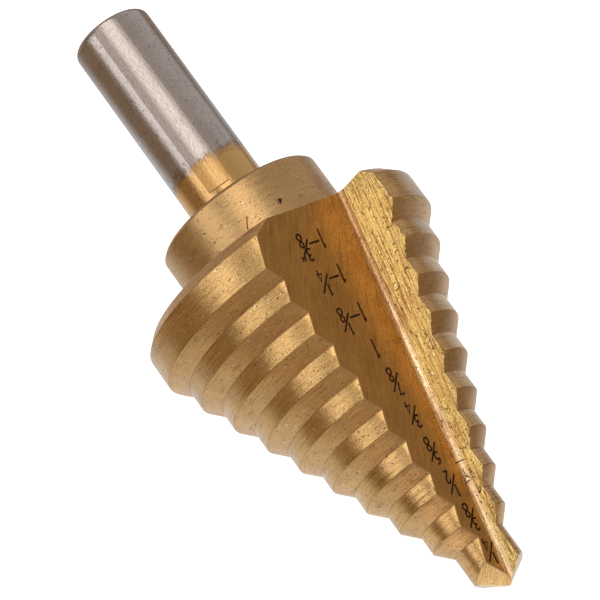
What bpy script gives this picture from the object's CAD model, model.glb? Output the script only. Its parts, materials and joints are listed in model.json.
"""Finish of a two-flute step drill: gold-coated steps, collar and flutes on a bare steel shank."""

import json
from collections import namedtuple
from fractions import Fraction
from math import atan2, ceil, cos, hypot, pi, radians, sin, sqrt, tan
from random import Random

import bmesh
import bpy
from mathutils import Matrix, Vector, noise


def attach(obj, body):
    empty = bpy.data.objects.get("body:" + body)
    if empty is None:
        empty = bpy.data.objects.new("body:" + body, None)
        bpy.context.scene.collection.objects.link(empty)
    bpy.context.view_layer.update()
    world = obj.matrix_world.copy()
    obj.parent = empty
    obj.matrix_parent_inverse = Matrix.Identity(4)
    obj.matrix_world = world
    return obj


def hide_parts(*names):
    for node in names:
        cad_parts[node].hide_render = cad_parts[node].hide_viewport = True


bl_info = {
    "name": "Step Drill Finish",
    "version": (1, 0, 0),
    "blender": (4, 5, 0),
    "location": "View3D > Sidebar > Step Drill",
    "description": "Dresses a ground step drill with its coating, tool marks and size marks",
    "category": "Object",
}

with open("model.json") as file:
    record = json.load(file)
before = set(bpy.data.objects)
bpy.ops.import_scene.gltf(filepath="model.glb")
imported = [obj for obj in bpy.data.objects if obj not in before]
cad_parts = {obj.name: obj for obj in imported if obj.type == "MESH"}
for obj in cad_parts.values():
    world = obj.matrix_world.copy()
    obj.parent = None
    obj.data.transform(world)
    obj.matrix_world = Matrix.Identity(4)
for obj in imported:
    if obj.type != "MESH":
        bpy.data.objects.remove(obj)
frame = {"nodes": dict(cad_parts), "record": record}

MM = 0.001
DRILL_NODE = "step_drill"

# The drill's own frame is in millimetres. Its Z axis is the drill's, and points towards the drill's point.
AXIS = Vector((0, 0, 1))

# Shank and collar. The rear face of the largest step is at height 0, and they lie below it.
SHANK_LENGTH = 25.9
SHANK_RADIUS = 4.7625
FLAT_DEPTH = 0.235
FLAT_AZIMUTH = 90.0
FLAT_COUNT = 3
COLLAR_LENGTH = 7.3
COLLAR_RADIUS = 10.0

# The V flutes. Angles are in degrees, and the valley slopes towards the axis on its way to the point.
FLUTE_COUNT = 2
FLUTE_ANGLE = 97.4
RAKE_AZIMUTH = 36.8
RAKE_OFFSET = 0.1
VALLEY_REAR_RADIUS = 12.54
VALLEY_SLOPE = 15.05
VALLEY_RADIUS = 0.9

# The steps, from the largest land to the pilot
LARGEST_RADIUS = 17.4625
LAND_FRONT = 4.85
STEP_RISE = 3.175
STEP_PITCH = 3.95
STEPS_TO_PILOT = 9
PILOT_FRONT = 42.11
POINT_LENGTH = 1.2

# Names of the mesh layers that the finishes read
GRAIN_MAP = "grain"
WEAR_ATTRIBUTE = "edge_wear"

# Points of a mesh that are closer together than this are one, in millimetres
WELD = 0.0005


def mount(name):
    """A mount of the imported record."""
    return next(m for m in frame["record"]["mounts"] if m["name"] == name)


def axes_matrix(origin, x_axis, y_axis, z_axis):
    """Matrix out of a frame that has these axes and this origin."""
    return Matrix.Translation(origin) @ Matrix((x_axis, y_axis, z_axis)).transposed().to_4x4()


def drill_axes():
    """Matrix from the drill's own millimetres, with Z along its axis, to the row frame in metres."""
    grip = Vector(mount("chuck_grip")["pos_m"])
    along = -Vector(mount("chuck_grip")["axis"]).normalized()
    up_flat = Vector(mount("jaw_flat_1")["axis"]).normalized()
    corners = frame["nodes"][DRILL_NODE].data.vertices
    shank_end = min((corner.co - grip).dot(along) for corner in corners)
    rear_face = grip + along * (shank_end + (SHANK_LENGTH + COLLAR_LENGTH) * MM)
    return axes_matrix(rear_face, up_flat.cross(along), up_flat, along) @ Matrix.Scale(MM, 4)


FROM_DRILL = drill_axes()
TO_DRILL = FROM_DRILL.inverted()
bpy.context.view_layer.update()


def polar(radius, azimuth, height=0.0):
    """Point at a radius, an azimuth in degrees and a height, in the drill's own frame."""
    return Vector((radius * cos(radians(azimuth)), radius * sin(radians(azimuth)), height))


def flute_azimuth(flute):
    """Azimuth of a flute's rake face, in degrees."""
    return RAKE_AZIMUTH + flute * 360 / FLUTE_COUNT


def rake_normal(flute):
    """Outward normal of a flute's rake face."""
    return polar(1, flute_azimuth(flute) + 90)


def valley_direction(flute):
    """Direction of a flute's valley, towards the point."""
    slope = radians(VALLEY_SLOPE)
    return polar(-sin(slope), flute_azimuth(flute), cos(slope))


def valley_start(flute):
    """Where a flute's valley would leave through the rear face if it were sharp."""
    return polar(VALLEY_REAR_RADIUS, flute_azimuth(flute)) + polar(RAKE_OFFSET, flute_azimuth(flute) + 90)


def marking_normal(flute):
    """Outward normal of a flute's wide face, which carries the size marks."""
    slope = radians(VALLEY_SLOPE)
    up_rake = polar(cos(slope), flute_azimuth(flute), sin(slope))
    return Matrix.Rotation(radians(FLUTE_ANGLE - 90), 3, valley_direction(flute)) @ up_rake


# ---------------------------------------------------------------- settings

# What every length and every colour of the panel has in common
LENGTH = {"min": 0.0, "unit": "LENGTH"}
COLOUR = {"size": 3, "subtype": "COLOR", "min": 0.0, "max": 1.0}


class DrillBodySettings(bpy.types.PropertyGroup):
    """Sizes and colours of the drill's body."""

    edge_rounding: bpy.props.FloatProperty(
        name="Edge rounding", description="Width of the worn strip along each ground edge",
        default=0.08 * MM, **LENGTH)
    groove_depth: bpy.props.FloatProperty(
        name="Groove depth", description="Depth of the milling grooves on the rake faces",
        default=0.085 * MM, **LENGTH)
    chip_depth: bpy.props.FloatProperty(
        name="Chip depth", description="Depth of the chips along the cutting edges",
        default=0.50 * MM, **LENGTH)
    coated_shank: bpy.props.FloatProperty(
        name="Coated shank", description="Length of the shank that the coating reaches",
        default=5.8 * MM, **LENGTH)
    gold: bpy.props.FloatVectorProperty(
        name="Gold", description="Colour of the coating", default=(0.76, 0.44, 0.165), **COLOUR)
    steel: bpy.props.FloatVectorProperty(
        name="Steel", description="Colour of the bare shank", default=(0.56, 0.465, 0.41), **COLOUR)


class SizeMarkSettings(bpy.types.PropertyGroup):
    """Sizes and colour of the etched marks."""

    digit_height: bpy.props.FloatProperty(
        name="Digit height", description="Height of the whole numbers", default=2.2 * MM, **LENGTH)
    stroke_width: bpy.props.FloatProperty(
        name="Stroke width", description="Width of an etched line", default=0.24 * MM, **LENGTH)
    ink: bpy.props.FloatVectorProperty(
        name="Burnt steel", description="Colour of the etched lines", default=(0.032, 0.011, 0.004), **COLOUR)


class BurrSettings(bpy.types.PropertyGroup):
    """Size and colour of the curls that the mill left."""

    thickness: bpy.props.FloatProperty(
        name="Curl thickness", description="Thickness of a curl of metal", default=0.11 * MM, **LENGTH)
    dark: bpy.props.FloatVectorProperty(
        name="Dark metal", description="Colour of the darkest curls", default=(0.10, 0.045, 0.018), **COLOUR)


class StageSettings(bpy.types.PropertyGroup):
    """Floor and exposure of the studio."""

    exposure: bpy.props.FloatProperty(
        name="Exposure", description="Exposure of the picture, in stops", default=0.0)
    floor_width: bpy.props.FloatProperty(
        name="Floor width", description="Width of the pale floor", default=3.0, **LENGTH)


# ---------------------------------------------------------------- materials


def link(tree, source, target):
    """Joins an output socket to an input socket."""
    tree.links.new(source, target)


def node(tree, kind, **values):
    """New shader node. A value sets the setting or the input of its name, or is a socket that feeds it."""
    made = tree.nodes.new(kind)
    for name, value in values.items():
        socket_name = name.replace("_", " ").title()
        if hasattr(made, name):
            setattr(made, name, value)
        elif isinstance(value, bpy.types.NodeSocket):
            link(tree, value, made.inputs[socket_name])
        else:
            made.inputs[socket_name].default_value = value
    return made


def empty_tree(owner):
    """Node tree of a material or of the world, emptied."""
    owner.use_nodes = True
    owner.node_tree.nodes.clear()
    return owner.node_tree


def new_material(name):
    """Metal with a Principled shader."""
    material = bpy.data.materials.new(name)
    tree = empty_tree(material)
    shader = node(tree, "ShaderNodeBsdfPrincipled", Metallic=1.0)
    node(tree, "ShaderNodeOutputMaterial", Surface=shader.outputs["BSDF"])
    return material, tree, shader


def drill_coordinates(tree):
    """Object coordinates turned into the drill's own frame, in millimetres."""
    place = node(tree, "ShaderNodeTexCoord").outputs["Object"]
    turn = TO_DRILL.to_quaternion().to_euler()
    mapping = node(tree, "ShaderNodeMapping", Vector=place, Location=TO_DRILL.translation, Rotation=turn,
                   Scale=(1 / MM,) * 3)
    return mapping.outputs["Vector"]


def grain_coordinates(tree):
    """Millimetres across and along the tool marks of each ground surface."""
    return node(tree, "ShaderNodeUVMap", uv_map=GRAIN_MAP).outputs["UV"]


def new_group(name, inputs, outputs):
    """Empty node group with float inputs and outputs, after one vector input."""
    group = bpy.data.node_groups.new(name, "ShaderNodeTree")
    group.interface.new_socket("Vector", in_out="INPUT", socket_type="NodeSocketVector")
    for socket in inputs:
        group.interface.new_socket(socket, in_out="INPUT", socket_type="NodeSocketFloat")
    for socket in outputs:
        group.interface.new_socket(socket, in_out="OUTPUT", socket_type="NodeSocketFloat")
    return group, node(group, "NodeGroupInput"), node(group, "NodeGroupOutput")


def arithmetic(tree, operation, *terms, clamp=False):
    """Math node of numbers and sockets, and its result."""
    made = node(tree, "ShaderNodeMath", operation=operation, use_clamp=clamp)
    for slot, term in zip(made.inputs, terms):
        if isinstance(term, (int, float)):
            slot.default_value = term
        else:
            link(tree, term, slot)
    return made.outputs["Value"]


def past_threshold(tree, value, threshold, steepness):
    """Mask that is 0 up to a threshold and climbs to 1 past it."""
    over = arithmetic(tree, "SUBTRACT", value, threshold)
    return arithmetic(tree, "MULTIPLY", over, steepness, clamp=True)


def ramp(tree, value, low, high, top=1.0, shape="SMOOTHSTEP"):
    """Share that goes from 0 where a value is low to its top where it is high."""
    made = node(tree, "ShaderNodeMapRange", interpolation_type=shape, Value=value, From_Min=low,
                From_Max=high, To_Max=top)
    return made.outputs["Result"]


def vector_math(tree, operation, vector, other=(0, 0, 0), output="Vector"):
    """Vector math node of a socket and three numbers, and its result."""
    made = node(tree, "ShaderNodeVectorMath", operation=operation)
    link(tree, vector, made.inputs[0])
    made.inputs[1].default_value = other
    return made.outputs[output]


def split(tree, vector):
    """The sockets of a vector's three numbers, named X, Y and Z."""
    return node(tree, "ShaderNodeSeparateXYZ", Vector=vector).outputs


def noise_map(tree, vector, scale, detail, roughness=0.5):
    """Cloudy texture, from 0 to 1."""
    made = node(tree, "ShaderNodeTexNoise", Vector=vector, Scale=scale, Detail=detail, Roughness=roughness)
    return made.outputs["Fac"]


def streaks_group():
    """Lines left by a grinding wheel or a mill: relief, and the share of dark lines."""
    group, entry, leave = new_group(
        "tool_streaks", ("Across", "Along", "Threshold"), ("Relief", "Lines"))
    parts = split(group, entry.outputs["Vector"])
    across = arithmetic(group, "MULTIPLY", parts["X"], entry.outputs["Across"])
    along = arithmetic(group, "MULTIPLY", parts["Y"], entry.outputs["Along"])
    place = node(group, "ShaderNodeCombineXYZ", X=across, Y=along, Z=parts["Z"]).outputs["Vector"]
    link(group, noise_map(group, place, scale=1.0, detail=4.0, roughness=0.6), leave.inputs["Relief"])
    elsewhere = vector_math(group, "ADD", place, (31.7, 11.3, 5.9))
    lines = noise_map(group, elsewhere, scale=0.8, detail=2.0)
    mask = past_threshold(group, lines, entry.outputs["Threshold"], steepness=9.0)
    link(group, mask, leave.inputs["Lines"])
    return group


def grains_group():
    """Pits and grains of the coating: where they are, from 0 to 1."""
    group, entry, leave = new_group("coating_grains", ("Scale", "Threshold"), ("Mask",))
    grains = noise_map(group, entry.outputs["Vector"], entry.outputs["Scale"], detail=1.5)
    mask = past_threshold(group, grains, entry.outputs["Threshold"], steepness=12.0)
    link(group, mask, leave.inputs["Mask"])
    return group


def clouds_group():
    """Slow change of tone over the surface, from 0 to 1."""
    group, entry, leave = new_group("coating_clouds", ("Scale",), ("Tone",))
    clouds = noise_map(group, entry.outputs["Vector"], entry.outputs["Scale"], detail=3.0, roughness=0.55)
    link(group, ramp(group, clouds, low=0.32, high=0.68, shape="LINEAR"), leave.inputs["Tone"])
    return group


def place_group(tree, group, vector, **values):
    """A node group in a material, fed with coordinates, and its outputs."""
    return node(tree, "ShaderNodeGroup", node_tree=group, Vector=vector, **values).outputs


def tint(tree, share, under, over):
    """Colour that goes from one to another with a share. Each is three numbers or a socket."""
    mix = node(tree, "ShaderNodeMix", data_type="RGBA")
    link(tree, share, mix.inputs["Factor"])
    colour_slots = [socket for socket in mix.inputs if socket.type == "RGBA"]
    for slot, colour in zip(colour_slots, (under, over)):
        if isinstance(colour, bpy.types.NodeSocket):
            link(tree, colour, slot)
        else:
            slot.default_value = (*colour, 1)
    return next(socket for socket in mix.outputs if socket.type == "RGBA")


def shade(colour, *shares):
    """A colour made lighter or darker, each channel by its own share where three are given."""
    shares = shares if len(shares) == 3 else shares * 3
    return tuple(min(1.0, channel * share) for channel, share in zip(colour, shares))


# How each ground surface is finished: streaks in a millimetre across and along the grain, their relief in
# millimetres, the roughness, how far the tone swings, the thresholds of dark lines, pits and flecks (a
# higher one leaves fewer), how strong the dark lines are, and what the colour is multiplied by on worn
# edges and in flecks
Finish = namedtuple("Finish", "across along relief roughness contrast lines pits flecks dark worn sparkle")
WORN_BRIGHT = (1.2, 1.45, 2.2)
WORN_DULL = (0.62, 0.54, 0.50)
WORN_PLAIN = (1.0, 1.0, 1.0)
SPARKLE_GOLD = (1.25, 1.7, 3.2)
SPARKLE_STEEL = (1.25, 1.32, 1.40)
FINISHES = {
    "shank": Finish(3.6, 2.2, 0.018, 0.19, 0.20, 0.62, 0.64, 0.68, 0.5, WORN_PLAIN, SPARKLE_STEEL),
    "flat": Finish(3.4, 1.8, 0.024, 0.27, 0.20, 0.61, 0.67, 0.67, 0.4, WORN_PLAIN, SPARKLE_STEEL),
    "rake": Finish(5.6, 0.30, 0.140, 0.20, 0.46, 0.53, 0.65, 0.66, 0.9, WORN_BRIGHT, SPARKLE_GOLD),
    "valley": Finish(6.0, 0.30, 0.120, 0.24, 0.32, 0.57, 0.66, 0.68, 0.7, WORN_BRIGHT, SPARKLE_GOLD),
    "collar": Finish(2.8, 0.60, 0.045, 0.34, 0.24, 0.60, 0.65, 0.68, 0.45, WORN_BRIGHT, SPARKLE_GOLD),
    "land": Finish(5.0, 0.26, 0.090, 0.21, 0.34, 0.57, 0.66, 0.66, 0.5, WORN_DULL, SPARKLE_GOLD),
    "bevel": Finish(4.0, 0.50, 0.060, 0.35, 0.28, 0.60, 0.63, 0.67, 0.5, WORN_DULL, SPARKLE_GOLD),
    "marking": Finish(2.8, 0.34, 0.032, 0.27, 0.28, 0.60, 0.65, 0.68, 0.5, WORN_BRIGHT, SPARKLE_GOLD),
    "point": Finish(7.0, 0.50, 0.080, 0.24, 0.38, 0.56, 0.67, 0.68, 0.7, WORN_BRIGHT, SPARKLE_GOLD),
}

# What the coating's colour is multiplied by on each coated surface
COATING_TONES = {
    "rake": (1.31, 1.18, 1.04),
    "valley": (1.31, 1.20, 1.60),
    "collar": (0.86, 0.88, 0.98),
    "land": (1.0, 1.0, 1.0),
    "bevel": (1.0, 1.02, 1.10),
    "marking": (1.0, 0.96, 0.95),
    "point": (1.28, 1.22, 1.35),
}

# Pits, flecks and clouds in a millimetre, and how much of the tone follows the streaks and not the clouds
PIT_SCALE = 4.2
FLECK_SCALE = 3.1
CLOUD_SCALE = 0.33
STREAK_SHARE = 0.7

# What the colour is multiplied by in dark lines, in pits and on grimy edges, how strongly a pit shows, and
# its depth as a share of the relief
LINE_TONE = (0.45, 0.40, 0.36)
PIT_TONE = (0.25, 0.25, 0.25)
GRIME_TONE = (0.42, 0.33, 0.26)
PIT_STRENGTH = 0.75
PIT_DEPTH = 0.6

# How worn an outer edge is, and how grimy an inner one, where the wear attribute is negative: the share that
# comes with light clouds, and the share everywhere
WORN_SHARE = (0.6, 0.1)
GRIME_SHARE = (-0.55, -0.03)

# How much rougher the top of a streak is than its bottom
ROUGHNESS_SWING = 0.16


def ground_metal(name, colour, groups, finish):
    """Ground metal: streaks along its grain, slow clouds, dark lines, pits, bright flecks and worn edges."""
    material, tree, shader = new_material(name)
    vector = drill_coordinates(tree)
    streaks = place_group(tree, groups["streaks"], grain_coordinates(tree), Across=finish.across,
                          Along=finish.along, Threshold=finish.lines)
    pits = place_group(tree, groups["grains"], vector, Scale=PIT_SCALE, Threshold=finish.pits)["Mask"]
    flecks = place_group(tree, groups["grains"], vector, Scale=FLECK_SCALE, Threshold=finish.flecks)["Mask"]
    clouds = place_group(tree, groups["clouds"], vector, Scale=CLOUD_SCALE)["Tone"]
    from_clouds = arithmetic(tree, "MULTIPLY", clouds, 1 - STREAK_SHARE)
    swing = arithmetic(tree, "MULTIPLY_ADD", streaks["Relief"], STREAK_SHARE, from_clouds)
    edges = node(tree, "ShaderNodeAttribute", attribute_name=WEAR_ATTRIBUTE).outputs["Fac"]
    worn, grimy = (
        arithmetic(tree, "MULTIPLY", edges, arithmetic(tree, "MULTIPLY_ADD", clouds, *share), clamp=True)
        for share in (WORN_SHARE, GRIME_SHARE))
    layers = (
        (arithmetic(tree, "MULTIPLY", streaks["Lines"], finish.dark), LINE_TONE),
        (arithmetic(tree, "MULTIPLY", pits, PIT_STRENGTH), PIT_TONE),
        (flecks, finish.sparkle),
        (worn, finish.worn),
        (grimy, GRIME_TONE),
    )
    tone = tint(tree, swing, shade(colour, 1 - finish.contrast), shade(colour, 1 + finish.contrast))
    for share, layer_tone in layers:
        tone = tint(tree, share, tone, shade(colour, *layer_tone))
    link(tree, tone, shader.inputs["Base Color"])
    lowest = finish.roughness - ROUGHNESS_SWING / 2
    rough = arithmetic(tree, "MULTIPLY_ADD", streaks["Relief"], ROUGHNESS_SWING, lowest)
    link(tree, rough, shader.inputs["Roughness"])
    height = arithmetic(tree, "MULTIPLY_ADD", pits, -PIT_DEPTH, streaks["Relief"])
    bump = node(tree, "ShaderNodeBump", Strength=1.0, Distance=finish.relief * MM, Height=height)
    link(tree, bump.outputs["Normal"], shader.inputs["Normal"])
    return material, tree, shader, tone, vector


# Feed marks of the mill on the rake faces: millimetres apart, wander along them, and lean in degrees
FEED_MARK_SPACING = 0.40
FEED_MARK_WANDER = 0.9
FEED_MARK_LEAN = 18.0

# Scale at which a wave texture has one wave in each unit
ONE_WAVE = 2 * pi / 20


def add_feed_marks(tree, shader):
    """Slanting feed marks of the mill under the streaks of a face. They lean outwards."""
    stretch = (1 / FEED_MARK_SPACING, FEED_MARK_WANDER, 1)
    place = vector_math(tree, "MULTIPLY", grain_coordinates(tree), stretch)
    feed = node(tree, "ShaderNodeTexWave", wave_type="BANDS", bands_direction="X", wave_profile="SAW",
                Vector=place, Scale=ONE_WAVE, Distortion=2.6, Detail=3.0, Detail_Scale=1.6,
                Detail_Roughness=0.6)
    lean = node(tree, "ShaderNodeBump", invert=True, Height=feed.outputs["Fac"],
                Distance=FEED_MARK_SPACING * tan(radians(FEED_MARK_LEAN)) * MM)
    streaks = shader.inputs["Normal"].links[0].from_node
    link(tree, lean.outputs["Normal"], streaks.inputs["Normal"])


# Where the valley turns brown towards the rear: the heights where that starts and ends, and its strength
BROWN_VALLEY = (18.5, 8.5, 0.77)
BROWN_TONE = (0.38, 0.30, 0.16)

# Each shank flat is brightest along a line this far from its middle, in millimetres. It turns dull between
# two distances from that line, with a strength.
BRIGHT_MIDDLE = -0.35
DULL_STRIP = (0.25, 1.15, 0.72)
FLAT_BRIGHTNESS = 1.22
DULL_STEEL = (0.30, 0.27, 0.24)
DULL_GOLD = (0.50, 0.42, 0.30)

# The coating's ragged end on the shank: how far clouds and grains move it and where it is on the average,
# in millimetres, how sharp it is, and its burnt smudges
END_CLOUDS_REACH = 1.1
END_GRAINS_REACH = 0.5
END_MIDDLE = 0.75
END_SHARPNESS = 2.5
BURNT_STRENGTH = 0.85
BURNT_TONE = (0.30, 0.24, 0.20)


def shank_metal(surface, settings, groups):
    """Satin steel shank, coated only next to the collar, with burnt smudges where the coating ends."""
    steel = shade(settings.steel, FLAT_BRIGHTNESS if surface == "flat" else 1.0)
    gold = tuple(settings.gold)
    material, tree, shader, tone, vector = ground_metal(surface + "_steel", steel, groups, FINISHES[surface])
    clouds = place_group(tree, groups["clouds"], vector, Scale=0.9)["Tone"]
    grains = place_group(tree, groups["grains"], vector, Scale=2.2, Threshold=0.52)["Mask"]
    height = arithmetic(tree, "MULTIPLY_ADD", clouds, END_CLOUDS_REACH, split(tree, vector)["Z"])
    height = arithmetic(tree, "MULTIPLY_ADD", grains, END_GRAINS_REACH, height)
    past_end = arithmetic(tree, "ADD", height, COLLAR_LENGTH + settings.coated_shank / MM - END_MIDDLE)
    coated = arithmetic(tree, "MULTIPLY_ADD", past_end, END_SHARPNESS, 0.5, clamp=True)
    near_end = arithmetic(tree, "SUBTRACT", 1.0, arithmetic(tree, "ABSOLUTE", past_end), clamp=True)
    burnt = arithmetic(tree, "MULTIPLY", arithmetic(tree, "MULTIPLY", near_end, clouds), BURNT_STRENGTH)
    if surface == "flat":
        sideways = split(tree, grain_coordinates(tree))["X"]
        from_bright = arithmetic(tree, "ABSOLUTE", arithmetic(tree, "SUBTRACT", sideways, BRIGHT_MIDDLE))
        dull = ramp(tree, from_bright, *DULL_STRIP)
        tone = tint(tree, dull, tone, shade(steel, *DULL_STEEL))
        gold = tint(tree, dull, gold, shade(gold, *DULL_GOLD))
    tone = tint(tree, coated, tone, gold)
    tone = tint(tree, burnt, tone, shade(steel, *BURNT_TONE))
    link(tree, tone, shader.inputs["Base Color"])
    return material


def coated_metal(surface, settings, groups):
    """Gold coating: milled on the rake faces, browner at the rear of the valleys, and ground elsewhere."""
    gold = shade(settings.gold, *COATING_TONES[surface])
    material, tree, shader, tone, vector = ground_metal(surface + "_gold", gold, groups, FINISHES[surface])
    if surface == "rake":
        add_feed_marks(tree, shader)
    if surface == "valley":
        brown = ramp(tree, split(tree, vector)["Z"], *BROWN_VALLEY)
        link(tree, tint(tree, brown, tone, shade(gold, *BROWN_TONE)), shader.inputs["Base Color"])
    return material


def body_metals(settings):
    """Every finish of the drill's body, by the surface that it covers."""
    groups = {"streaks": streaks_group(), "grains": grains_group(), "clouds": clouds_group()}
    return {
        surface: (coated_metal if surface in COATING_TONES else shank_metal)(surface, settings, groups)
        for surface in FINISHES}


# What the ink is multiplied by where it is faint, and the colour of a freshly torn curl
FAINT_INK = (1.8, 2.0, 1.8)
BRIGHT_BURR = (1.0, 0.80, 0.45)


def etched_metal(settings, name="etched_mark"):
    """Burnt lines of the size marks or of a scratch, fainter in places."""
    material, tree, shader = new_material(name)
    spots = noise_map(tree, drill_coordinates(tree), scale=2.2, detail=3.0)
    faint = past_threshold(tree, spots, threshold=0.52, steepness=5.0)
    ink = tuple(settings.ink)
    link(tree, tint(tree, faint, ink, shade(ink, *FAINT_INK)), shader.inputs["Base Color"])
    shader.inputs["Metallic"].default_value = 0.0
    shader.inputs["Specular IOR Level"].default_value = 0.08
    shader.inputs["Roughness"].default_value = 0.62
    return material


def burr_metal(settings):
    """Loose curls of metal, from burnt dark to bright gold."""
    material, tree, shader = new_material("burr_gold")
    spots = noise_map(tree, drill_coordinates(tree), scale=0.8, detail=1.0)
    bright = past_threshold(tree, spots, threshold=0.44, steepness=12.0)
    link(tree, tint(tree, bright, tuple(settings.dark), BRIGHT_BURR), shader.inputs["Base Color"])
    shader.inputs["Roughness"].default_value = 0.35
    return material


# ---------------------------------------------------------------- body


# How a face is told from others: how near its middle is to its surface, in millimetres, the most that its
# normal may lie along a direction that it runs along, and the least along the direction that it faces
NEAR = 0.1
RUNS_ALONG = 0.1
FACES_END = 0.7
FACES_POINT = 0.3
FACES_RAKE = 0.97
FACES_MARKING = 0.99

# Lean of the grinding marks on the wide faces, in degrees
MARKING_GRAIN_LEAN = -24.0


def surface_of(centre, normal):
    """Which ground surface a face belongs to, from its middle and normal in the drill's frame."""
    if centre.z < -COLLAR_LENGTH + NEAR / 10:
        on_rear_ring = abs(normal.z) > FACES_END and centre.z > -COLLAR_LENGTH - NEAR
        if on_rear_ring or hypot(centre.x, centre.y) > SHANK_RADIUS + NEAR / 2:
            return "collar"
        is_flat = abs(normal.z) < RUNS_ALONG and centre.dot(normal) < SHANK_RADIUS - FLAT_DEPTH / 2
        return "flat" if is_flat else "shank"
    for flute in range(FLUTE_COUNT):
        from_valley = centre - valley_start(flute)
        off_rake = from_valley.dot(rake_normal(flute))
        off_marking = from_valley.dot(marking_normal(flute))
        if normal.dot(rake_normal(flute)) > FACES_RAKE and abs(off_rake) < NEAR:
            return "rake"
        if normal.dot(marking_normal(flute)) > FACES_MARKING and abs(off_marking) < NEAR:
            return "marking"
        in_corner = -NEAR < off_rake < VALLEY_RADIUS and -NEAR < off_marking < VALLEY_RADIUS
        if in_corner and abs(normal.dot(valley_direction(flute))) < RUNS_ALONG:
            return "valley"
    if centre.z < NEAR / 10:
        return "collar"
    if centre.z > PILOT_FRONT - POINT_LENGTH and normal.z > FACES_POINT:
        return "point"
    return "land" if abs(normal.z) < RUNS_ALONG else "bevel"


def nearest_flute(place):
    """The flute on whose side of the axis a place lies."""
    return max(range(FLUTE_COUNT), key=lambda flute: place.dot(rake_normal(flute)))


def grain_of(surface, place, centre, normal):
    """Millimetres across and along the tool marks at a place on a surface."""
    if surface in ("collar", "shank") and abs(normal.z) > FACES_END:
        return place.x, place.y
    if surface in ("rake", "valley", "marking"):
        flute = nearest_flute(centre)
        away = place - valley_start(flute)
        along = away.dot(valley_direction(flute))
        across = away.dot(marking_normal(flute))
        if surface == "marking":
            across = away.dot(marking_normal(flute).cross(valley_direction(flute)))
            lean = radians(MARKING_GRAIN_LEAN)
            return across * cos(lean) - along * sin(lean), across * sin(lean) + along * cos(lean)
        return across + (away.dot(rake_normal(flute)) if surface == "valley" else 0), along
    if surface == "flat":
        facings = [polar(1, FLAT_AZIMUTH + index * 360 / FLAT_COUNT) for index in range(FLAT_COUNT)]
        return place.dot(AXIS.cross(max(facings, key=centre.dot))), place.z
    if surface == "point":
        return place.x + place.z, place.y
    middle = atan2(centre.y, centre.x)
    turned = (atan2(place.y, place.x) - middle + pi) % (2 * pi) - pi + middle
    round_about = turned * hypot(centre.x, centre.y)
    return (round_about, place.z) if surface == "shank" else (place.z, round_about)


# Angles in degrees: faces that meet at less than the first are made one, and edges over the second are worn
ONE_FACE_ANGLE = 0.5
SHARP_ANGLE = 25.0


def copy_of_node(name):
    """A merged copy of a CAD node's mesh in the drill's millimetres, with its flat faces made whole."""
    body = bmesh.new()
    body.from_mesh(frame["nodes"][name].data)
    bmesh.ops.transform(body, matrix=TO_DRILL, verts=body.verts)
    bmesh.ops.remove_doubles(body, verts=body.verts, dist=WELD)
    bmesh.ops.dissolve_limit(body, angle_limit=radians(ONE_FACE_ANGLE), verts=body.verts, edges=body.edges,
                             use_dissolve_boundaries=False)
    return body


def round_edges(body, width):
    """Breaks every ground edge with a narrow rounded strip, and marks the strips as worn."""
    wear = body.faces.layers.float.new(WEAR_ATTRIBUTE)
    sharp = [edge for edge in body.edges
             if edge.is_manifold and edge.calc_face_angle() > radians(SHARP_ANGLE)]
    made = bmesh.ops.bevel(
        body, geom=sharp, offset=width, offset_type="OFFSET", segments=2, profile=0.5,
        affect="EDGES", material=-1, clamp_overlap=False)
    body.normal_update()
    for face in made["faces"]:
        longest = sorted(face.edges, key=bmesh.types.BMEdge.calc_length)[-2:]
        hollow = any(edge.is_manifold and not edge.is_convex for edge in longest)
        face[wear] = -1.0 if hollow else 1.0


def slice_faces(body, faces, start, normal, spacing, count):
    """Cuts faces by evenly spaced parallel planes, and returns the faces that they become."""
    faces = set(faces)
    for index in range(1, count):
        plane = start + normal * (index * spacing)
        crossed = set()
        for face in faces:
            heights = [(corner.co - plane).dot(normal) for corner in face.verts]
            if min(heights) < 0 < max(heights):
                crossed.add(face)
        if crossed:
            edges = {edge for face in crossed for edge in face.edges}
            corners = {corner for face in crossed for corner in face.verts}
            cut = bmesh.ops.bisect_plane(
                body, geom=[*crossed, *edges, *corners], plane_co=plane, plane_no=normal, dist=WELD)
            faces -= crossed
            faces |= {item for item in cut["geom"] if isinstance(item, bmesh.types.BMFace)}
    return faces


# Cuts that carry the milling grooves: millimetres apart, and the stretch and width that they cover, from
# behind the rear face to past the point
GROOVE_STEP_ACROSS = 0.13
GROOVE_STEP_ALONG = 0.40
CUTS_BEHIND = 6
CUTS_LENGTH = 60
CUTS_WIDTH = 32

# Least of a face's normal that lies along the rake face's normal where it is milled. A worn edge has less.
FACES_MILL = 0.9

# Grooves: the depth of each, waves in a millimetre across and along the mill's path, and place in the noise
GROOVES = (
    (0.85, 2.8, 0.16, 7.0),
    (0.5, 4.7, 0.30, 19.0),
)

# Crumbled scales: their waves and place in the noise, how far from the valley and how high up the drill
# they start, in how many millimetres they grow, and their greatest depth
CRUMBLE = (2.6, 1.30, 31.0)
CRUMBLE_START = 1.2
CRUMBLE_GROWTH = 3.0
CRUMBLE_HEIGHT = 26.0
CRUMBLE_RUN = 8.0
CRUMBLE_MOST = 1.3


def groove_noise(flute, u, v, across, along, place):
    """Noise drawn out along the mill's path on a rake face."""
    return noise.noise(Vector((u * across, v * along, place + flute)))


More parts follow.
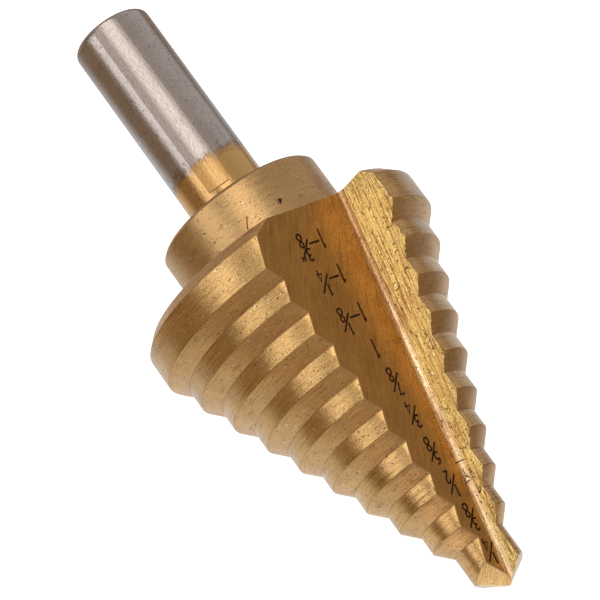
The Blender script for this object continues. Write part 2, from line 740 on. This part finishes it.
def mill_rake_faces(body, rake_index, depth):
    """Gives both rake faces real milling grooves and scales."""
    for flute in range(FLUTE_COUNT):
        facing = rake_normal(flute)
        along = valley_direction(flute)
        across = facing.cross(along)
        start = valley_start(flute) - along * CUTS_BEHIND - across * (CUTS_WIDTH / 2)
        faces = [face for face in body.faces
                 if face.material_index == rake_index and face.normal.dot(facing) > FACES_MILL]
        for way, step, extent in (
                (along, GROOVE_STEP_ALONG, CUTS_LENGTH), (across, GROOVE_STEP_ACROSS, CUTS_WIDTH)):
            faces = slice_faces(body, faces, start, way, step, int(extent / step))
        for corner in {corner for face in faces for corner in face.verts}:
            away = corner.co - start
            u, v = away.dot(across), away.dot(along)
            groove = sum(share * groove_noise(flute, u, v, *waves) for share, *waves in GROOVES)
            from_valley = abs((corner.co - valley_start(flute)).dot(across))
            outwards = (from_valley - CRUMBLE_START) / CRUMBLE_GROWTH
            towards_point = (corner.co.z - CRUMBLE_HEIGHT) / CRUMBLE_RUN
            crumbled = min(CRUMBLE_MOST, max(0.0, outwards, towards_point))
            groove += crumbled * groove_noise(flute, u, v, *CRUMBLE)
            corner.co += facing * (depth * groove)


# Chips: how near the rake face and how far from the valley they are, in millimetres, waves of the noise in
# a millimetre, and the threshold of the noise past which the edge is chipped
CHIP_REACH = 0.2
CHIP_FROM_VALLEY = 1.0
CHIP_WAVES = 1.9
CHIP_THRESHOLD = 0.12


def chip_cutting_edges(body, depth):
    """Breaks small chips out of the cutting edges."""
    for corner in body.verts:
        flute = nearest_flute(corner.co)
        outward = polar(1, flute_azimuth(flute))
        away = corner.co - valley_start(flute)
        off_rake = abs(away.dot(rake_normal(flute)))
        beyond = away.dot(outward) + corner.co.z * tan(radians(VALLEY_SLOPE))
        if off_rake < CHIP_REACH and beyond > CHIP_FROM_VALLEY and corner.co.z > 0:
            bite = max(0.0, noise.noise(corner.co * CHIP_WAVES) - CHIP_THRESHOLD)
            corner.co -= outward * (depth * bite * (1 - off_rake / CHIP_REACH))


def new_object(name, data):
    """Object in the scene's own collection."""
    made = bpy.data.objects.new(name, data)
    bpy.context.scene.collection.objects.link(made)
    return made


def finish_piece(name, body, materials):
    """Object from a bmesh in the drill's millimetres, shaded smooth and riding on the drill's body."""
    for face in body.faces:
        face.smooth = True
    bmesh.ops.transform(body, matrix=FROM_DRILL, verts=body.verts)
    mesh = bpy.data.meshes.new(name)
    body.to_mesh(mesh)
    body.free()
    for material in materials:
        mesh.materials.append(material)
    piece = new_object(name, mesh)
    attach(piece, "root")
    return piece


class STEPDRILL_OT_body(bpy.types.Operator):
    """Make the drill's body from a copy of its solid, with worn edges, milled flutes and its finishes"""

    bl_idname = "step_drill.body"
    bl_label = "Drill Body"

    def execute(self, context):
        settings = context.scene.drill_body
        body = copy_of_node(DRILL_NODE)
        body.normal_update()
        finishes = body_metals(settings)
        names = list(finishes)
        for face in body.faces:
            face.material_index = names.index(surface_of(face.calc_center_median(), face.normal))
        for edge in body.edges:
            surfaces = {names[face.material_index] for face in edge.link_faces}
            edge.smooth = not surfaces >= {"flat", "shank"}
        round_edges(body, settings.edge_rounding / MM)
        body.normal_update()
        mill_rake_faces(body, names.index("rake"), settings.groove_depth / MM)
        chip_cutting_edges(body, settings.chip_depth / MM)
        bmesh.ops.dissolve_degenerate(body, dist=WELD, edges=body.edges)
        body.normal_update()
        grain = body.loops.layers.uv.new(GRAIN_MAP)
        for face in body.faces:
            surface = names[face.material_index]
            centre = face.calc_center_median()
            for loop in face.loops:
                loop[grain].uv = grain_of(surface, loop.vert.co, centre, face.normal)
        piece = finish_piece("ground_body", body, finishes.values())
        even = piece.modifiers.new("even_shading", "WEIGHTED_NORMAL")
        even.mode = "FACE_AREA"
        even.weight = 100
        even.keep_sharp = True
        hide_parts(DRILL_NODE)
        return {"FINISHED"}


# ---------------------------------------------------------------- size marks

# Strokes of each sign about its own middle, one high. Curved signs are drawn as smooth lines.
SIGNS = {
    "1": (((0.0, 0.5), (0.0, -0.5)), ((0.02, 0.5), (-0.14, 0.34))),
    "2": (((-0.26, 0.26), (-0.14, 0.50), (0.20, 0.50), (0.30, 0.20), (0.05, -0.12), (-0.28, -0.48)),
          ((-0.28, -0.48), (0.0, -0.44), (0.30, -0.50))),
    "3": (((-0.26, 0.40), (0.02, 0.56), (0.30, 0.36), (0.14, 0.06), (-0.10, 0.03)),
          ((-0.10, 0.03), (0.22, 0.02), (0.34, -0.28), (0.04, -0.56), (-0.28, -0.40))),
    "4": (((0.14, -0.5), (0.14, 0.5), (-0.30, -0.16), (0.34, -0.16)),),
    "5": (((0.28, 0.5), (-0.18, 0.5), (-0.22, 0.06)),
          ((-0.22, 0.06), (0.06, 0.20), (0.34, -0.14), (0.06, -0.56), (-0.28, -0.40))),
    "7": (((-0.30, 0.5), (0.30, 0.5), (-0.08, -0.5)),),
    "8": (((0.0, 0.02), (-0.28, 0.18), (-0.20, 0.54), (0.20, 0.54), (0.28, 0.18), (0.0, 0.02), (-0.34, -0.18),
           (-0.24, -0.56), (0.24, -0.56), (0.34, -0.18), (0.0, 0.02)),),
    "dash": (((-0.34, 0.0), (0.34, 0.0)),),
    "slash": (((-0.34, -0.42), (0.34, 0.42)),),
    "inch": (((-0.10, 0.12), (-0.12, -0.12)), ((0.10, 0.12), (0.08, -0.12))),
}
CURVED_SIGNS = "2358"

# How finely the strokes of a sign and of a curl or scratch are drawn: the pieces between two points of a
# smooth stroke, and the resolution of its round section
SIGN_FINENESS = (10, 2)
CURL_FINENESS = (2, 0)

# How flat every stroke lies: its thickness as a share of its width
MARK_FLATNESS = 0.30

# Where each mark starts, from the largest step to the pilot: millimetres from the valley, and along it
MARK_PLACES = (
    (5.39, 4.20), (4.82, 8.39), (4.33, 13.03), (4.73, 17.17), (3.19, 20.70),
    (2.73, 24.62), (2.30, 28.98), (1.60, 32.91), (1.05, 36.95), (0.51, 40.99),
)
LARGEST_EIGHTHS = 11

# How narrow the signs are, and how much smaller the numbers of a fraction are
SIGN_WIDTH = 0.76
FRACTION_SCALE = 0.62

# Where the signs of a mark stand, from its left end and its middle height, in heights of a whole number
DASH_AT = (0.53, 0.08)
FRACTION_AT = (0.86, 0.0)
SLASH_MIDDLE = (0.36, 0.26)
NUMERATOR_AT = (0.25, 0.60)
DENOMINATOR_AT = (0.50, -0.16)
INCH_AT = (0.74, 0.72)


def mark_signs(eighths):
    """Signs of one size, such as 1-3/8, each with its place and scale."""
    whole, rest = divmod(Fraction(eighths, 8), 1)
    signs = []
    start = Vector((0.0, 0.0))
    if whole:
        signs.append((str(whole), start, 1.0))
    if whole and rest:
        signs.append(("dash", Vector(DASH_AT), 1.0))
        start = Vector(FRACTION_AT)
    if rest:
        signs.append(("slash", start + Vector(SLASH_MIDDLE), 1.0))
        signs.append((str(rest.numerator), start + Vector(NUMERATOR_AT), FRACTION_SCALE))
        signs.append((str(rest.denominator), start + Vector(DENOMINATOR_AT), FRACTION_SCALE))
    if eighths == LARGEST_EIGHTHS:
        signs.append(("inch", start + Vector(INCH_AT), 1.0))
    return signs


def add_stroke(curve, points, is_round, pieces):
    """One pen stroke as a spline, drawn smooth and in pieces where it is round."""
    spline = curve.splines.new("NURBS" if is_round else "POLY")
    spline.points.add(len(points) - 1)
    for point, (x, y) in zip(spline.points, points):
        point.co = (x, y, 0, 1)
    if is_round:
        spline.order_u = 3
        spline.use_endpoint_u = True
        spline.resolution_u = pieces


def on_surface(origin, across, along, out):
    """Matrix that lays flat strokes on a surface, from its two directions and its normal."""
    return axes_matrix(origin, across.normalized(), along.normalized(), out.normalized())


def mark_direction(flute):
    """Reading direction of the size marks: across the wide face, away from the valley."""
    across = marking_normal(flute).cross(valley_direction(flute))
    return across if across.dot(rake_normal(flute)) > 0 else -across


def flat_rise(sideways):
    """Rise of a flat surface: none, however far sideways."""
    return 0.0


def collar_rise(sideways):
    """How far the round collar falls away, beside the line where a stroke is placed."""
    return sqrt(COLLAR_RADIUS ** 2 - sideways ** 2) - COLLAR_RADIUS


def valley_rise(sideways):
    """How far the valley rises beside its lowest line: first round, then as a flat flute wall."""
    half_turn = radians(90 - FLUTE_ANGLE / 2)
    on_round = min(abs(sideways), VALLEY_RADIUS * sin(half_turn))
    beyond = abs(sideways) - on_round
    return VALLEY_RADIUS - sqrt(VALLEY_RADIUS ** 2 - on_round ** 2) + beyond * tan(half_turn)


def add_strokes(body, strokes, width, placement, rise=flat_rise, fineness=CURL_FINENESS):
    """Adds flattened pen strokes to a bmesh in the drill's millimetres, bent to the surface under them."""
    pieces, roundness = fineness
    for points, is_round in strokes:
        curve = bpy.data.curves.new("stroke", "CURVE")
        curve.dimensions = "3D"
        curve.bevel_depth = width / 2
        curve.bevel_resolution = roundness
        curve.use_fill_caps = True
        add_stroke(curve, points, is_round, pieces)
        drawn = new_object("stroke_drawn", curve)
        mesh = bpy.data.meshes.new_from_object(drawn)
        bpy.data.objects.remove(drawn)
        bpy.data.curves.remove(curve)
        closed = bmesh.new()
        closed.from_mesh(mesh)
        bmesh.ops.remove_doubles(closed, verts=closed.verts, dist=WELD)
        bmesh.ops.dissolve_degenerate(closed, dist=WELD, edges=closed.edges)
        bmesh.ops.recalc_face_normals(closed, faces=closed.faces)
        for corner in closed.verts:
            corner.co.z = corner.co.z * MARK_FLATNESS + rise(corner.co.x)
        bmesh.ops.transform(closed, matrix=placement, verts=closed.verts)
        closed.to_mesh(mesh)
        closed.free()
        body.from_mesh(mesh)
        bpy.data.meshes.remove(mesh)


class STEPDRILL_OT_size_marks(bpy.types.Operator):
    """Etch the size of each step on the wide face of one flute"""

    bl_idname = "step_drill.size_marks"
    bl_label = "Size Marks"

    def execute(self, context):
        settings = context.scene.drill_marks
        height = settings.digit_height / MM
        strokes = []
        for index, start in enumerate(MARK_PLACES):
            for sign, place, scale in mark_signs(LARGEST_EIGHTHS - index):
                width = 1.0 if sign in ("dash", "slash") else SIGN_WIDTH
                for stroke in SIGNS[sign]:
                    drawn = [place + Vector((x * width, y)) * scale for x, y in stroke]
                    points = [Vector(start) + point * height for point in drawn]
                    strokes.append((points, sign in CURVED_SIGNS))
        marks = bmesh.new()
        placement = on_surface(valley_start(0), mark_direction(0), valley_direction(0), marking_normal(0))
        add_strokes(marks, strokes, settings.stroke_width / MM, placement, fineness=SIGN_FINENESS)
        finish_piece("size_marks", marks, [etched_metal(settings)])
        return {"FINISHED"}


# ---------------------------------------------------------------- burrs and scratches

# Curls of metal that the mill left on each rake face and in each valley: their number, lengths and heights
# in millimetres, their widths as shares of the curl thickness, the most that one turns, in degrees, and how
# far its middle lies over the metal
CURL_SEED = 11
RAKE_CURLS = 84
RAKE_CURL_LENGTH = (0.45, 1.5)
RAKE_CURL_HEIGHTS = (3.0, 41.0)
RAKE_CURL_WIDTH = (0.6, 1.2)
VALLEY_CURLS = 6
VALLEY_CURL_LENGTH = (0.7, 1.7)
VALLEY_CURL_HEIGHTS = (20.0, 41.0)
VALLEY_CURL_WIDTH = (0.7, 1.1)
CURL_TURN = 210.0
CURL_POINTS = 6
CURL_LIFT = 0.01

# The longest curl as a share of the rake face's width at its height, and how closely the curls crowd
# towards the point and towards the outer edge: 1 is evenly
LONGEST_CURL = 0.7
CROWD_FORWARD = 1.5
CROWD_OUTWARD = 2

# The scratch and the smudge on the collar, as azimuth and height, with their sizes in millimetres
SCRATCH_AT = (90.0, -2.5)
SCRATCH = ((-0.38, -0.66), (0.06, -0.1), (0.38, 0.66))
SMUDGE_AT = (65.1, -2.66)
SMUDGE_SPREAD = 0.17
SMUDGE_STROKES = 24
SMUDGE_LENGTH = (0.06, 0.24)


def curl(draw, length):
    """Points of a bent stroke with its middle at the origin, in a random direction."""
    heading = draw.uniform(0, 2 * pi)
    bend = radians(draw.uniform(-CURL_TURN, CURL_TURN)) / CURL_POINTS
    points = [Vector((0.0, 0.0))]
    for index in range(CURL_POINTS):
        step = Vector((cos(heading + index * bend), sin(heading + index * bend)))
        points.append(points[-1] + step * (length / CURL_POINTS))
    middle = sum(points, Vector((0.0, 0.0))) / len(points)
    return [point - middle for point in points], True


def land_radius(height):
    """Radius of the land that a height belongs to, and of the bevel's small end between two lands."""
    steps_on = min(STEPS_TO_PILOT, max(0, ceil((height - LAND_FRONT) / STEP_PITCH)))
    return LARGEST_RADIUS - steps_on * STEP_RISE / 2


def add_rake_curls(burrs, draw, flute, width):
    """Curls along the outer edge of a rake face and, closer together, towards the point."""
    up_rake = rake_normal(flute).cross(-valley_direction(flute))
    lowest, highest = RAKE_CURL_HEIGHTS
    for _ in range(RAKE_CURLS):
        height = highest - (highest - lowest) * draw.random() ** CROWD_FORWARD
        inner = VALLEY_REAR_RADIUS - height * tan(radians(VALLEY_SLOPE))
        outer = land_radius(height)
        length = min(draw.uniform(*RAKE_CURL_LENGTH), (outer - inner) * LONGEST_CURL)
        radius = outer - length / 2 - (outer - inner - length) * draw.random() ** CROWD_OUTWARD
        place = polar(radius, flute_azimuth(flute), height) + rake_normal(flute) * (RAKE_OFFSET + CURL_LIFT)
        placement = on_surface(place, up_rake, valley_direction(flute), rake_normal(flute))
        add_strokes(burrs, [curl(draw, length)], width * draw.uniform(*RAKE_CURL_WIDTH), placement)


def add_valley_curls(burrs, draw, flute, width):
    """Curls in the front half of the rounded valley."""
    facing = (rake_normal(flute) + marking_normal(flute)).normalized()
    off_corner = VALLEY_RADIUS * (1 / sin(radians(FLUTE_ANGLE / 2)) - 1)
    along = valley_direction(flute)
    for _ in range(VALLEY_CURLS):
        forward = along * draw.uniform(*VALLEY_CURL_HEIGHTS)
        place = valley_start(flute) + forward + facing * (off_corner + CURL_LIFT)
        placement = on_surface(place, facing.cross(along), along, facing)
        stroke = curl(draw, draw.uniform(*VALLEY_CURL_LENGTH))
        add_strokes(burrs, [stroke], width * draw.uniform(*VALLEY_CURL_WIDTH), placement, valley_rise)


def smudge(draw):
    """Short strokes crowded about one place."""
    strokes = []
    for _ in range(SMUDGE_STROKES):
        shift = Vector((draw.gauss(0, SMUDGE_SPREAD), draw.gauss(0, SMUDGE_SPREAD)))
        points, is_round = curl(draw, draw.uniform(*SMUDGE_LENGTH))
        strokes.append(([point + shift for point in points], is_round))
    return strokes


class STEPDRILL_OT_burrs(bpy.types.Operator):
    """Leave curls of metal on the rake faces and in the valleys, and a scratch and a smudge on the collar"""

    bl_idname = "step_drill.burrs"
    bl_label = "Burrs and Scratches"

    def execute(self, context):
        settings = context.scene.drill_burrs
        draw = Random(CURL_SEED)
        width = settings.thickness / MM
        burrs = bmesh.new()
        for flute in range(FLUTE_COUNT):
            add_rake_curls(burrs, draw, flute, width)
            add_valley_curls(burrs, draw, flute, width)
        finish_piece("milling_burrs", burrs, [burr_metal(settings)])
        scratch = [([Vector(point) for point in SCRATCH], True)]
        scratches = bmesh.new()
        for (azimuth, height), strokes in ((SCRATCH_AT, scratch), (SMUDGE_AT, smudge(draw))):
            place = polar(COLLAR_RADIUS, azimuth, height)
            placement = on_surface(place, polar(1, azimuth + 90), AXIS, polar(1, azimuth))
            add_strokes(scratches, strokes, width, placement, collar_rise)
        finish_piece("collar_scratches", scratches, [etched_metal(context.scene.drill_marks, "scratch")])
        return {"FINISHED"}


# ---------------------------------------------------------------- stage

# Camera in the drill's own frame: its place in millimetres, and its sideways and upward directions
CAMERA_PLACE = Vector((-0.281, 319.420, 92.223))
CAMERA_RIGHT = Vector((0.80935, -0.15464, 0.56660))
CAMERA_UP = Vector((0.58732, 0.21310, -0.78079))
CAMERA_LENS = 182.136
CAMERA_SENSOR = 36.0

# What the drill reflects of the floor: its colour far off, and oval patches nearer by, each with its
# middle and half sizes in metres, the shares of them where it is full and where it is gone, and its colour
FAR_GLOW = (0.27, 0.20, 0.13)
FLOOR_PATCHES = (
    ((-0.020, 0.075), (0.050, 0.040), 0.7, 1.3, (0.48, 0.54, 0.65)),
    ((0.000, 0.010), (0.075, 0.045), 0.45, 1.35, (0.74, 0.79, 0.86)),
    ((0.062, -0.034), (0.030, 0.024), 0.5, 1.4, (0.44, 0.34, 0.23)),
    ((0.036, 0.048), (0.030, 0.033), 0.55, 1.25, (0.17, 0.125, 0.085)),
    ((0.051, -0.004), (0.012, 0.012), 0.8, 1.6, (1.15, 1.10, 1.10)),
    ((-0.150, -0.020), (0.080, 0.050), 0.6, 1.3, (0.43, 0.38, 0.34)),
    ((-0.080, 0.226), (0.055, 0.055), 0.5, 1.4, (0.37, 0.31, 0.26)),
)

# Colours of the surroundings, and round patches in them: azimuth, elevation, the angles within which
# a patch is full and outside which it is gone, and its colour
SKY_LOW = (0.22, 0.155, 0.095)
SKY_HIGH = (0.44, 0.43, 0.41)
SKY_PATCHES = (
    (116, 8, 22, 52, (0.54, 0.55, 0.58)),
    (74, 22, 12, 26, (0.25, 0.19, 0.11)),
    (-34, 60, 14, 27, (1.15, 1.15, 1.15)),
    (180, 2, 16, 34, (0.43, 0.38, 0.33)),
)

# How fast the sky turns from its low colour to its high one
SKY_CLIMB = 2.0

# Soft lights: azimuth and elevation in degrees, distance, width and height in metres, brightness and colour
SOFTBOXES = {
    "key_softbox": (-97, 32, 0.60, 0.60, 0.31, 0.82, (1.0, 1.08, 1.20)),
    "top_softbox": (-90, 80, 0.60, 0.60, 0.30, 0.95, (1.0, 1.04, 1.10)),
}

# What the camera sees of the floor: the colour that its light falls on, and its own glow
FLOOR_PALE = (0.85, 0.85, 0.85)
FLOOR_GLOW = (0.90, 0.90, 0.90)


def towards(azimuth, elevation):
    """Direction of length one, from two angles in degrees."""
    return polar(cos(radians(elevation)), azimuth, sin(radians(elevation)))


def add_camera():
    """Long-lens camera that looks down on the drill."""
    data = bpy.data.cameras.new("camera")
    data.lens = CAMERA_LENS
    data.sensor_width = CAMERA_SENSOR
    data.clip_start = 0.01
    camera = new_object("camera", data)
    turn = FROM_DRILL.to_3x3().normalized()
    right = (turn @ CAMERA_RIGHT).normalized()
    back = right.cross(turn @ CAMERA_UP).normalized()
    camera.matrix_world = axes_matrix(FROM_DRILL @ CAMERA_PLACE, right, back.cross(right), back)
    bpy.context.scene.camera = camera


def add_softbox(name, azimuth, elevation, distance, width, height, brightness, colour):
    """Rectangular soft light that faces the drill."""
    data = bpy.data.lights.new(name, "AREA")
    data.shape = "RECTANGLE"
    data.size = width
    data.size_y = height
    data.energy = brightness * pi * width * height
    data.color = colour
    light = new_object(name, data)
    away = towards(azimuth, elevation)
    level_edge = polar(1, azimuth + 90)
    light.matrix_world = axes_matrix(away * distance, level_edge, away.cross(level_edge), away)
    light.visible_camera = False


def mix_shaders(tree, share, under, over):
    """Shader that goes from one to another with a share."""
    mix = node(tree, "ShaderNodeMixShader", Fac=share)
    link(tree, under, mix.inputs[1])
    link(tree, over, mix.inputs[2])
    return mix.outputs["Shader"]


def add_world():
    """Soft surroundings: mid grey above, darker and warmer towards the horizon, with patches of their own."""
    world = bpy.data.worlds.new("studio")
    bpy.context.scene.world = world
    tree = empty_tree(world)
    direction = node(tree, "ShaderNodeTexCoord").outputs["Generated"]
    climb = arithmetic(tree, "MULTIPLY", split(tree, direction)["Z"], SKY_CLIMB, clamp=True)
    colour = tint(tree, climb, SKY_LOW, SKY_HIGH)
    for azimuth, elevation, inner, outer, patch_colour in SKY_PATCHES:
        nearness = vector_math(tree, "DOT_PRODUCT", direction, towards(azimuth, elevation), "Value")
        share = ramp(tree, nearness, cos(radians(outer)), cos(radians(inner)))
        colour = tint(tree, share, colour, patch_colour)
    around = node(tree, "ShaderNodeBackground", Color=colour).outputs["Background"]
    white = node(tree, "ShaderNodeBackground", Color=(1, 1, 1, 1)).outputs["Background"]
    seen = node(tree, "ShaderNodeLightPath").outputs["Is Camera Ray"]
    node(tree, "ShaderNodeOutputWorld", Surface=mix_shaders(tree, seen, around, white))


def reflected_floor(tree):
    """Colour in which the drill reflects the floor, from place to place."""
    place = node(tree, "ShaderNodeTexCoord").outputs["Object"]
    colour = FAR_GLOW
    for middle, half_sizes, full, gone, patch_colour in FLOOR_PATCHES:
        from_middle = vector_math(tree, "SUBTRACT", place, (*middle, 0))
        scaled = vector_math(tree, "MULTIPLY", from_middle, (1 / half_sizes[0], 1 / half_sizes[1], 0))
        reach = vector_math(tree, "LENGTH", scaled, output="Value")
        colour = tint(tree, ramp(tree, reach, gone, full), colour, patch_colour)
    return colour


def add_floor(width):
    """Pale floor. The drill reflects it brightly close by, and dimmer and warmer further off."""
    body = bmesh.new()
    bmesh.ops.create_grid(body, x_segments=1, y_segments=1, size=width / 2)
    mesh = bpy.data.meshes.new("floor")
    body.to_mesh(mesh)
    body.free()
    floor = new_object("floor", mesh)
    material = bpy.data.materials.new("floor_pale")
    tree = empty_tree(material)
    pale = node(tree, "ShaderNodeBsdfDiffuse", Color=(*FLOOR_PALE, 1))
    glow = node(tree, "ShaderNodeEmission", Color=(*FLOOR_GLOW, 1))
    lit = node(tree, "ShaderNodeAddShader")
    link(tree, pale.outputs["BSDF"], lit.inputs[0])
    link(tree, glow.outputs["Emission"], lit.inputs[1])
    mirrored = node(tree, "ShaderNodeEmission", Color=reflected_floor(tree))
    seen = node(tree, "ShaderNodeLightPath").outputs["Is Glossy Ray"]
    shown = mix_shaders(tree, seen, lit.outputs["Shader"], mirrored.outputs["Emission"])
    node(tree, "ShaderNodeOutputMaterial", Surface=shown)
    mesh.materials.append(material)


class STEPDRILL_OT_stage(bpy.types.Operator):
    """Set the pale floor, the soft lights and the camera"""

    bl_idname = "step_drill.stage"
    bl_label = "Studio"

    def execute(self, context):
        settings = context.scene.drill_stage
        view = context.scene.view_settings
        view.view_transform = "Standard"
        view.exposure = settings.exposure
        add_floor(settings.floor_width)
        add_world()
        for name, softbox in SOFTBOXES.items():
            add_softbox(name, *softbox)
        add_camera()
        return {"FINISHED"}


# ---------------------------------------------------------------- panel and registration

# The settings of each step, under their name in the scene, and the operator that makes it
STEPS = {
    "drill_body": (DrillBodySettings, STEPDRILL_OT_body),
    "drill_marks": (SizeMarkSettings, STEPDRILL_OT_size_marks),
    "drill_burrs": (BurrSettings, STEPDRILL_OT_burrs),
    "drill_stage": (StageSettings, STEPDRILL_OT_stage),
}


class STEPDRILL_PT_panel(bpy.types.Panel):
    """Steps that dress the drill"""

    bl_idname = "STEPDRILL_PT_panel"
    bl_label = "Step Drill"
    bl_space_type = "VIEW_3D"
    bl_region_type = "UI"
    bl_category = "Step Drill"

    def draw(self, context):
        for scene_name, (settings, operator) in STEPS.items():
            for name in settings.__annotations__:
                self.layout.prop(getattr(context.scene, scene_name), name)
            self.layout.operator(operator.bl_idname)


CLASSES = (*(cls for step in STEPS.values() for cls in step), STEPDRILL_PT_panel)


def register():
    """Registers the classes, and the settings of each step."""
    for cls in CLASSES:
        bpy.utils.register_class(cls)
    for scene_name, step in STEPS.items():
        setattr(bpy.types.Scene, scene_name, bpy.props.PointerProperty(type=step[0]))


def unregister():
    """Takes the settings and the classes out again."""
    for scene_name in STEPS:
        delattr(bpy.types.Scene, scene_name)
    for cls in reversed(CLASSES):
        bpy.utils.unregister_class(cls)


def main():
    """Dresses the drill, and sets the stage."""
    register()
    bpy.ops.step_drill.body()
    bpy.ops.step_drill.size_marks()
    bpy.ops.step_drill.burrs()
    bpy.ops.step_drill.stage()


if __name__ == "__main__":
    main()
